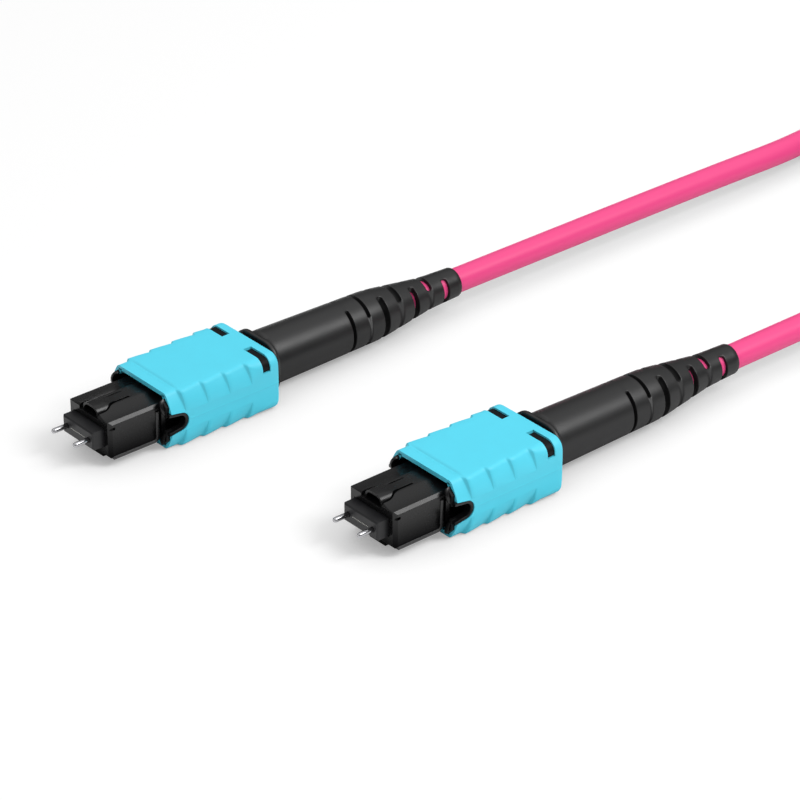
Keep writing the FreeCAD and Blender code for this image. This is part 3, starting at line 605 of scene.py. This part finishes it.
# pin radius near the tip follows a quarter ellipse
def guidePin(side, end):
    part = np.linspace(0, 1, pin["tipRows"])
    narrow = pin["tipRadius"] + (pin["radius"] - pin["tipRadius"]) * np.sqrt(1 - (1 - part) ** 2)
    y = np.concatenate([[pin["tip"]], pin["tip"] + pin["tipLength"] * part, [pin["rear"], pin["rear"]]])
    radius = np.concatenate([[pin["pole"]], narrow, [pin["radius"], pin["pole"]]])
    angle = np.linspace(0, 2 * math.pi, pin["columns"], endpoint=False)
    x0, y0, z0 = plugPlaces[end]
    x0 += pin["pitch"] / 2 * (1 if side == "right" else -1)
    x = x0 + radius[:, None] * np.cos(angle)
    z = z0 + radius[:, None] * np.sin(angle)
    points = np.stack([x, np.broadcast_to((y0 + y)[:, None], x.shape), z], -1)
    piece = ringGrid(f"guidePin_{side}_{end}", points[::-1])
    return dress(piece, "ferrule_unit_" + end, "pin_steel", f"guide_pin_{side}_{end}")


# the grip: a shell with finger scoops along its four long edges,
# latch notches in front and corner windows behind
grip = {
    "front": 8.35,
    "length": 17.4,
    "halfWidth": 6.37,
    "halfHeight": 4.05,
    "wall": 0.6,
    "innerBevel": 1.0,
    "scoops": 4,
    "scoopFirst": 1.55,
    "scoopPitch": 3.55,
    "bandDeep": 0.62,  # how far the front band lies inside the crests
    "scoopDeep": 0.42,
    "lean": 0.78,  # how far the sides curve in between the belt and the top or bottom
    "rearLean": 0.2,
    "slant": 0.6,
    "scoopDrop": 2.75,
    "scoopWall": 0.46,
    "wallLeast": 0.15,  # share of the wall length left where a scoop has faded out
    "fadePower": 0.8,
    "rampPower": 1.4,
    "wallRows": 8,
    "rampRows": 7,
    "bendRows": 5,
    "edgeRound": 0.36,
    "rearRound": 1.35,
    "rearEdge": 0.45,
    "notchHalf": 1.55,
    "notchNeck": 1.36,
    "notchStraight": 1.3,
    "notchDepth": 2.68,
    "notchSettles": (4.6, 2.3),  # behind this the notch bends no rows: inside it, beside it
    "notchBlend": 0.06,
    "windowFrom": 14.7,
    "windowTo": 15.95,
    "windowReach": 2.3,
    "windowLow": 2.1,
    "bandDepth": 0.09,
    "bandReach": 4.8,
    "partingRise": 0.03,
    "sideRows": (0, 0.07, 0.25, 0.5, 0.75, 0.95, 1.1, 1.22, 1.3, 1.36, 1.45, 1.55, 1.8, 2.1),
    "sideShares": (0.15, 0.3, 0.45, 0.6, 0.75, 0.9),  # of the way from the last row to the round corner
    "topRows": (4.8, 4.2, 3.3, 2.3, 1.2, 0),
    "arcSteps": 8,
    "edge": 0.08,
    "onLine": 0.01,  # what lies nearer than this to a line is on it
    "tooth": {"outer": 4.85, "width": 0.7, "lean": 0.18, "drop": 0.7, "length": 1.7, "sink": 0.2},
}


# rows of the grip along its axis: place, share of a wall length, scoop depth, groove depth, slant
def gripRows():
    feet = grip["scoopFirst"] + grip["scoopPitch"] * np.arange(grip["scoops"])
    ramp, climb = np.linspace(0, 1, grip["rampRows"]), np.linspace(0, 1, grip["wallRows"])[1:]
    smooth = climb * climb * (2 - climb)
    rows = [np.stack([feet[0] * ramp, 0 * ramp, 0 * ramp + grip["bandDeep"], 0 * ramp, ramp], -1)]
    ramp = ramp[1:]
    for number, foot in enumerate(feet):
        isLast = number == grip["scoops"] - 1
        before = grip["bandDeep"] if number == 0 else grip["scoopDeep"]
        nextPlace = grip["windowFrom"] if isLast else feet[number + 1]
        nextDepth = 0 if isLast else grip["scoopDeep"]
        groove = grip["bandDepth"] * (climb < 1) * (number == 0)
        rows.append(np.stack([0 * climb + foot, climb, before * (1 - smooth), groove, 0 * climb + 1], -1))
        along, fall = foot + (nextPlace - foot) * ramp, nextDepth * ramp ** grip["rampPower"]
        rows.append(np.stack([along, 1 - ramp, fall, 0 * ramp, 1 - ramp * isLast], -1))
    windowMiddle = (grip["windowFrom"] + grip["windowTo"]) / 2
    quarter = np.linspace(0, math.pi / 2, grip["bendRows"])
    bend = grip["length"] - grip["rearEdge"] * (1 - np.sin(quarter))
    behind = np.concatenate([[windowMiddle, grip["windowTo"]], bend])
    rows.append(np.stack([behind] + [0 * behind] * 4, -1))
    return np.concatenate(rows).T[..., None]


# a whole section from its right upper quarter, which runs from mid side to mid top
def wholeSection(quarter, left, below):
    back = quarter[:, ::-1]
    upper = np.concatenate([quarter, back[:, 1:] * left], 1)
    lower = np.concatenate([quarter[:, 1:] * left, back[:, 1:-1]], 1) * below
    return np.concatenate([upper, lower], 1)


# notch depth over height: straight walls that close in, then a round end
def notchProfile(height):
    straight, neck, half = grip["notchStraight"], grip["notchNeck"], grip["notchHalf"]
    mouth = straight * np.clip((half - height) / (half - neck), 0, 1)
    end = (grip["notchDepth"] - straight) * np.sqrt(np.clip(1 - (height / neck) ** 2, 0, 1))
    return mouth + end


# four teeth behind the front edge: a three-sided prism mirrored across and up, numbered from first on
def gripTeeth(first):
    tooth, ceiling = grip["tooth"], grip["halfHeight"] - grip["wall"]
    root, tip = ceiling + tooth["sink"], ceiling - tooth["drop"]
    outline = np.array([(tooth["outer"] - tooth["width"], root), (tooth["outer"], root),
                        (tooth["outer"] - tooth["lean"], tip)])
    prism = ((0, 1, 2), (5, 4, 3), (0, 3, 4, 1), (1, 4, 5, 2), (2, 5, 3, 0))
    points, faces = [], []
    for flip in np.array([(1, 1), (-1, 1), (1, -1), (-1, -1)]):
        flat = outline * flip
        points += [np.insert(flat, 1, 0, 1), np.insert(flat, 1, tooth["length"], 1)]
        turned = flip.prod() > 0
        faces += [[first + corner for corner in (face[::-1] if turned else face)] for face in prism]
        first += 2 * len(outline)
    return np.concatenate(points), faces


# grip surface: a rectangle with round corners carried along the axis, its sides pulled in by the scoops,
# with an inner wall, a rim round every opening and four teeth behind the front edge
def gripCover(end):
    place, share, depth, groove, slant = gripRows()
    halfWidth, halfHeight, wall = grip["halfWidth"], grip["halfHeight"], grip["wall"]
    lastFoot = grip["scoopFirst"] + grip["scoopPitch"] * (grip["scoops"] - 1)
    swell = np.clip((place + share * grip["scoopWall"] - lastFoot) / (grip["windowFrom"] - lastFoot), 0, 1)
    corner = grip["edgeRound"] + (grip["rearRound"] - grip["edgeRound"]) * swell * swell * (3 - 2 * swell)
    arc = np.linspace(0, math.pi / 2, grip["arcSteps"])
    top, ones = np.array(grip["topRows"]), np.ones_like(place)
    side, last = ones * np.array(grip["sideRows"]), grip["sideRows"][-1]
    side = np.concatenate([side, last + (halfHeight - corner - last) * np.array(grip["sideShares"])], 1)
    quarterX = [0 * side + halfWidth, halfWidth - corner + corner * np.cos(arc), ones * top]
    quarterZ = [side, halfHeight - corner + corner * np.sin(arc), ones * (0 * top + halfHeight)]
    x = wholeSection(np.concatenate(quarterX, 1), -1, 1)
    z = wholeSection(np.concatenate(quarterZ, 1), 1, -1)
    low = halfHeight - grip["scoopDrop"]
    reach = np.clip((np.abs(z) - low) / grip["scoopDrop"], 0, 1)
    fade = reach ** grip["fadePower"]  # scoops fade out down the side
    depth = depth * fade + (grip["lean"] + (grip["rearLean"] - grip["lean"]) * swell) * reach ** 2
    wallLength = grip["scoopWall"] * (grip["wallLeast"] + (1 - grip["wallLeast"]) * fade)
    y = place + share * wallLength + slant * grip["slant"] * (1 - reach)
    notch, blend = notchProfile(np.abs(z)), grip["notchBlend"]
    settles = np.interp(np.abs(z) - grip["notchNeck"], (-blend, blend), grip["notchSettles"])
    y = np.where(y < settles, notch + y * (settles - notch) / settles, y)
    rearEdge = grip["rearEdge"]
    bend = np.clip((place - grip["length"]) / rearEdge + 1, 0, 1)
    inset = rearEdge * (1 - np.sqrt(np.clip(1 - bend ** 2, 0, 1)))  # quarter round at the rear edge
    onParting = np.abs(z) < grip["onLine"]
    onBand = (z > halfHeight - grip["onLine"]) & (np.abs(x) <= grip["bandReach"])
    outerX = x * (1 - (depth + inset) / halfWidth) + np.sign(x) * grip["partingRise"] * onParting
    outerZ = z * (1 - inset / halfHeight) - groove * onBand
    innerX = np.clip(x, wall - halfWidth, halfWidth - wall)
    innerZ = np.clip(z, wall - halfHeight, halfHeight - wall)
    over = np.abs(innerX) + np.abs(innerZ) - (halfWidth + halfHeight - 2 * wall - grip["innerBevel"])
    over = np.maximum(over, 0) / 2
    innerX, innerZ = innerX - np.sign(innerX) * over, innerZ - np.sign(innerZ) * over
    points = np.stack([np.stack([outerX, y, outerZ], -1), np.stack([innerX, y, innerZ], -1)]).reshape(-1, 3)
    total = x.size
    index = np.arange(total).reshape(x.shape)
    right = np.roll(index, -1, 1)
    quads = np.stack([index[:-1], index[1:], right[1:], right[:-1]], -1).reshape(-1, 4)
    middle = points[quads].mean(1)
    isWindow = (np.abs(middle[:, 0]) > grip["windowReach"]) & (middle[:, 2] > grip["windowLow"])
    isWindow &= (middle[:, 1] > grip["windowFrom"]) & (middle[:, 1] < grip["windowTo"])
    quads = quads[~isWindow]
    starts, ends = quads.ravel(), np.roll(quads, -1, 1).ravel()
    rim = ~np.isin(starts * total + ends, ends * total + starts)
    starts, ends = starts[rim], ends[rim]
    walls = np.stack([ends, starts, starts + total, ends + total], -1)
    faces = np.concatenate([quads, quads[:, ::-1] + total, walls]).tolist()
    toothPoints, toothFaces = gripTeeth(2 * total)
    points, faces = np.concatenate([points, toothPoints]), faces + toothFaces
    x0, y0, z0 = plugPlaces[end]
    mesh = bpy.data.meshes.new("gripCover_" + end)
    mesh.from_pydata((points + (x0, y0 + grip["front"], z0)) * mm, [], faces)
    mesh.shade_smooth()
    mesh.set_sharp_from_angle(angle=math.radians(sharpFrom["grip"]))
    piece = bpy.data.objects.new("gripCover_" + end, mesh)
    roundEdges(piece, grip["edge"], sharpFrom["grip"])
    return dress(piece, "sleeve_" + end, "aqua_grip", "grip_cover_" + end)


# the raised frame on each side of the nose: along the bottom edge, then up in front of the sleeve
rail = {
    "middle": 4.2,
    "rise": 0.36,
    "halfWidth": 0.24,
    "low": -2.6,
    "front": 0.5,
    "rear": 7.4,
    "bend": 0.6,
    "top": 1.55,
    "square": 0.4,  # power that squares the section
    "bendRows": 10,
    "columns": 24,
}


# rail surface: a square section with round corners carried along a path with one round bend
def noseRail(side, end):
    bend = np.linspace(0, math.pi / 2, rail["bendRows"])
    y = np.concatenate([[rail["front"]], rail["rear"] - rail["bend"] * (1 - np.sin(bend)), [rail["rear"]]])
    z = np.concatenate([[rail["low"]], rail["low"] + rail["bend"] * (1 - np.cos(bend)), [rail["top"]]])
    lean = np.concatenate([[0], bend, [math.pi / 2]])
    turnBy = np.linspace(0, 2 * math.pi, rail["columns"], endpoint=False)
    across = squarer(np.cos(turnBy), rail["square"]) * rail["halfWidth"]
    out = squarer(np.sin(turnBy), rail["square"]) * rail["rise"]
    sign = 1 if side == "right" else -1
    x0, y0, z0 = plugPlaces[end]
    pointY = y0 + y[:, None] - across * np.sin(lean)[:, None]
    pointZ = z0 + z[:, None] + across * np.cos(lean)[:, None]
    pointX = np.broadcast_to(x0 + sign * (rail["middle"] + out), pointY.shape)
    points = np.stack([pointX, pointY, pointZ], -1)
    piece = cappedGrid(f"noseRail_{side}_{end}", points if side == "right" else points[:, ::-1])
    # the rails take the lighter copy of the black plastic: painted light
    return dress(piece, "cable_assembly", "black_housing", finish="black_lit_edge")


# the sleeve's own edge in front of the grip: a rim inside each latch notch and a fin above and below it
sleeveEdge = {
    "rimWidth": 0.5,
    "rimMiddle": 5.72,
    "rimHalf": 0.56,
    "mouth": -0.3,
    "finFront": -1.0,
    "finRear": 0.6,
    "finHalf": 0.24,
    "finPath": ((5.36, 1.3), (5.36, 2.45), (4.72, 3.2)),  # x and z
    "finEnds": 0.45,  # share of the reach that is left at both ends of a fin
    "finRows": 24,
    "rimRows": 25,
    "rimFlare": 0.05,
    "square": 0.4,  # powers that square the sections
    "finSquare": 0.5,
    "columns": 28,
}


# rim surface: an upright section with round corners carried along the notch, just inside its edge
def notchRim(side, end):
    straight, neck, half = grip["notchStraight"], grip["notchNeck"], grip["notchHalf"]
    bend = np.linspace(math.pi / 2, -math.pi / 2, sleeveEdge["rimRows"])
    y = straight + (grip["notchDepth"] - straight) * np.cos(bend)
    z = neck * np.sin(bend)
    y = np.concatenate([[sleeveEdge["mouth"]], y, [sleeveEdge["mouth"]]])
    flared = half + sleeveEdge["rimFlare"]
    z = np.concatenate([[flared], z, [-flared]])
    ahead = np.stack([np.gradient(y), np.gradient(z)], -1)
    ahead /= np.linalg.norm(ahead, axis=1, keepdims=True)
    turnBy = np.linspace(0, 2 * math.pi, sleeveEdge["columns"], endpoint=False)
    within = (squarer(np.cos(turnBy), sleeveEdge["square"]) + 1) / 2 * sleeveEdge["rimWidth"]
    out = squarer(np.sin(turnBy), sleeveEdge["square"]) * sleeveEdge["rimHalf"]
    sign = 1 if side == "right" else -1
    x0, y0, z0 = plugPlaces[end]
    pointY = y0 + grip["front"] + y[:, None] + within * ahead[:, 1:2]
    pointZ = z0 + z[:, None] - within * ahead[:, 0:1]
    pointX = np.broadcast_to(x0 + sign * (sleeveEdge["rimMiddle"] + out), pointY.shape)
    points = np.stack([pointX, pointY, pointZ], -1)
    piece = cappedGrid(f"notchRim_{side}_{end}", points if side == "right" else points[:, ::-1])
    return dress(piece, "sleeve_" + end, slotOf["release_sleeve_" + end])


# fin surface: a flat section with a round front, carried along a curve of three points up the inside
# of the grip and round its corner
def sleeveFin(side, level, end):
    share = np.linspace(0, 1, sleeveEdge["finRows"])
    weights = np.stack([(1 - share) ** 2, 2 * share * (1 - share), share ** 2], -1)
    x, z = (weights @ np.array(sleeveEdge["finPath"])).T
    ahead = np.stack([np.gradient(x), np.gradient(z)], -1)
    ahead /= np.linalg.norm(ahead, axis=1, keepdims=True)
    turnBy = np.linspace(0, 2 * math.pi, sleeveEdge["columns"], endpoint=False)
    thick = squarer(np.sin(turnBy), sleeveEdge["finSquare"]) * sleeveEdge["finHalf"]
    along = (squarer(np.cos(turnBy), sleeveEdge["square"]) + 1) / 2
    arc, ends = np.sqrt(1 - (2 * share - 1) ** 2), sleeveEdge["finEnds"]
    front = sleeveEdge["finFront"] * (ends + (1 - ends) * arc)  # an arc seen from the side
    pointY = front[:, None] + along * (sleeveEdge["finRear"] - front[:, None])
    pointX = x[:, None] + thick * ahead[:, 1:2]
    pointZ = z[:, None] - thick * ahead[:, 0:1]
    signX, signZ = (1 if side == "right" else -1), (1 if level == "upper" else -1)
    x0, y0, z0 = plugPlaces[end]
    points = np.stack([x0 + signX * pointX, y0 + grip["front"] + pointY, z0 + signZ * pointZ], -1)
    piece = cappedGrid(f"sleeveFin_{level}_{side}_{end}", points if signX * signZ > 0 else points[:, ::-1])
    return dress(piece, "sleeve_" + end, slotOf["release_sleeve_" + end])


# the springs: round wire wound in an oval, with closed end turns
springs = {
    "ferrule_spring": {"joint": "ferrule", "wire": 0.36, "turns": 5.5, "travel": 0.6},
    "sleeve_spring_left": {"joint": "sleeve", "wire": 0.2, "turns": 4.5, "travel": 0.8},
    "sleeve_spring_right": {"joint": "sleeve", "wire": 0.2, "turns": 4.5, "travel": 0.8},
    "stepsPerTurn": 36,
    "columns": 12,
    "closing": 0.6,  # how much the pitch falls off towards both ends
}


# spring surface: a round section carried along an oval helix that fills the node's own room
def ovalSpring(name, end):
    spring = springs[name]
    low, high = (np.array(corner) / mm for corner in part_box(f"{name}_{end}"))
    half = spring["wire"] / 2
    done = np.linspace(0, 1, int(spring["turns"] * springs["stepsPerTurn"]) + 1)
    turn = 2 * math.pi * spring["turns"] * done
    climb = done - springs["closing"] * np.sin(2 * math.pi * done) / (2 * math.pi)
    middle, size = (low + high) / 2, (high - low) / 2 - half
    path = np.stack([middle[0] + size[0] * np.cos(turn), low[1] + half + 2 * size[1] * climb,
                     middle[2] + size[2] * np.sin(turn)], -1)
    ahead = np.gradient(path, axis=0)
    ahead /= np.linalg.norm(ahead, axis=1, keepdims=True)
    out = np.stack([np.cos(turn) * size[2], 0 * turn, np.sin(turn) * size[0]], -1)
    out /= np.linalg.norm(out, axis=1, keepdims=True)
    beside = np.cross(ahead, out)
    angle = np.linspace(0, 2 * math.pi, springs["columns"], endpoint=False)[None, :, None]
    points = path[:, None] + half * (out[:, None] * np.cos(angle) + beside[:, None] * np.sin(angle))
    wire = cappedGrid(f"{name}_{end}Wire", points)
    piece = dress(wire, "cable_assembly", "spring_steel", f"{name}_{end}")
    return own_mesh(piece)


# the polished ends of the twelve fibres in the ferrule's face
tips = {
    "count": 12,
    "pitch": 0.25,
    "radius": 0.0625,
    "face": -1.8,
    "proud": 0.006,
    "depth": 0.2,
    "columns": 16,
}


# fibre ends: twelve short rods in a row between the guide pins
def fibreTips(end):
    x0, y0, z0 = plugPlaces[end]
    places = x0 + (np.arange(tips["count"]) - (tips["count"] - 1) / 2) * tips["pitch"]
    angle = np.linspace(0, 2 * math.pi, tips["columns"], endpoint=False)
    x = places[:, None, None] + tips["radius"] * np.cos(angle)
    y = y0 + np.array([tips["face"] - tips["proud"], tips["face"] + tips["depth"]])[:, None]
    x, y, z = np.broadcast_arrays(x, y, z0 + tips["radius"] * np.sin(angle))
    index = np.arange(x.size).reshape(x.shape)
    right = np.roll(index, -1, 2)
    sides = np.stack([index[:, 0], index[:, 1], right[:, 1], right[:, 0]], -1).reshape(-1, 4)
    faces = sides.tolist() + index[:, 0].tolist() + index[:, 1, ::-1].tolist()
    mesh = bpy.data.meshes.new("fibreTips_" + end)
    mesh.from_pydata(np.stack([x, y, z], -1).reshape(-1, 3) * mm, [], faces)
    piece = bpy.data.objects.new("fibreTips_" + end, mesh)
    return dress(piece, "ferrule_unit_" + end, "ribbon_coating")


for end in plugPlaces:
    strainBoot(end)
    gripCover(end)
    fibreTips(end)
    ovalSpring("ferrule_spring", end)
    for side in ("left", "right"):
        guidePin(side, end)
        ovalSpring("sleeve_spring_" + side, end)
        noseRail(side, end)
        notchRim(side, end)
        sleeveFin(side, "upper", end)
        sleeveFin(side, "lower", end)
    # the release sleeve takes the duller copy of the black plastic: painted shade inside the windows
    mouldedCopy("release_sleeve", end, "sleeve_" + end, finish="black_shaded_inside")
    mouldedCopy("inner_housing", end, "cable_assembly")
    mouldedCopy("ferrule", end, "ferrule_unit_" + end)
    mouldedCopy("spring_push", end, "cable_assembly")
print("plugs dressed")

# floor, backdrop and lamps
stage = {
    "floorSize": 6.0,
    "floorColour": (0.75, 0.75, 0.75, 1),
    "floorGlow": 0.3,
    "floorRoughness": 0.9,
    "floorSpecular": 0.1,
    "horizon": 0.28,
    "horizonFades": (0.03, 0.1),  # heights on a ball of radius 1
    "low": 0.17,
    "overhead": 1.05,
    "overheadGrows": (0.35, 0.95),
    "lamps": (("keyLamp", (0.46, 0.30, 0.56), 0.35, 2.8),  # name, place, size, watts
              ("frontLamp", (0.1, -0.75, 0.4), 0.4, 0.25)),
}
half = stage["floorSize"] / 2
floorMesh = bpy.data.meshes.new("floor")
floorCorners = [(-half, -half, 0), (half, -half, 0), (half, half, 0), (-half, half, 0)]
floorMesh.from_pydata(floorCorners, [], [(0, 1, 2, 3)])
floor = bpy.data.objects.new("floor", floorMesh)
scene.collection.objects.link(floor)
floorFinish = bpy.data.materials.new("paleFloor")
floorFinish.use_nodes = True
floorTree = floorFinish.node_tree
floorShader = floorTree.nodes["Principled BSDF"]
floorShader.inputs["Base Color"].default_value = stage["floorColour"]
floorShader.inputs["Roughness"].default_value = stage["floorRoughness"]
floorShader.inputs["Specular IOR Level"].default_value = stage["floorSpecular"]
floorShader.inputs["Emission Color"].default_value = (1, 1, 1, 1)
rays = floorTree.nodes.new("ShaderNodeLightPath").outputs
seen = mathNode(floorTree, "MAXIMUM", rays["Is Camera Ray"], rays["Is Glossy Ray"])
seen = mathNode(floorTree, "MAXIMUM", seen, rays["Is Transmission Ray"])
glow = mathNode(floorTree, "MULTIPLY", seen, stage["floorGlow"])
floorTree.links.new(glow, floorShader.inputs["Emission Strength"])
floorMesh.materials.append(floorFinish)

# studio round the object: pale at the horizon, dim above it, bright overhead
world = bpy.data.worlds.new("studio")
scene.world = world
world.use_nodes = True
worldTree = world.node_tree
ambient = worldTree.nodes["Background"]
ambient.inputs["Color"].default_value = (1, 1, 1, 1)
direction = worldTree.nodes.new("ShaderNodeTexCoord")
parts = worldTree.nodes.new("ShaderNodeSeparateXYZ")
worldTree.links.new(direction.outputs["Generated"], parts.inputs["Vector"])
overhead = rampNode(worldTree, parts.outputs["Z"], *stage["overheadGrows"], stage["low"], stage["overhead"])
horizon = rampNode(worldTree, parts.outputs["Z"], *stage["horizonFades"], stage["horizon"], 0.0)
worldTree.links.new(mathNode(worldTree, "MAXIMUM", overhead, horizon), ambient.inputs["Strength"])


# an area lamp that faces the middle of the object
def softLamp(name, place, size, watts):
    data = bpy.data.lights.new(name, "AREA")
    data.shape = "SQUARE"
    data.size = size
    data.energy = watts
    lamp = bpy.data.objects.new(name, data)
    lamp.location = place
    lamp.rotation_euler = Vector(place).to_track_quat("Z", "Y").to_euler()
    scene.collection.objects.link(lamp)


for lampRow in stage["lamps"]:
    softLamp(*lampRow)
print("stage set")
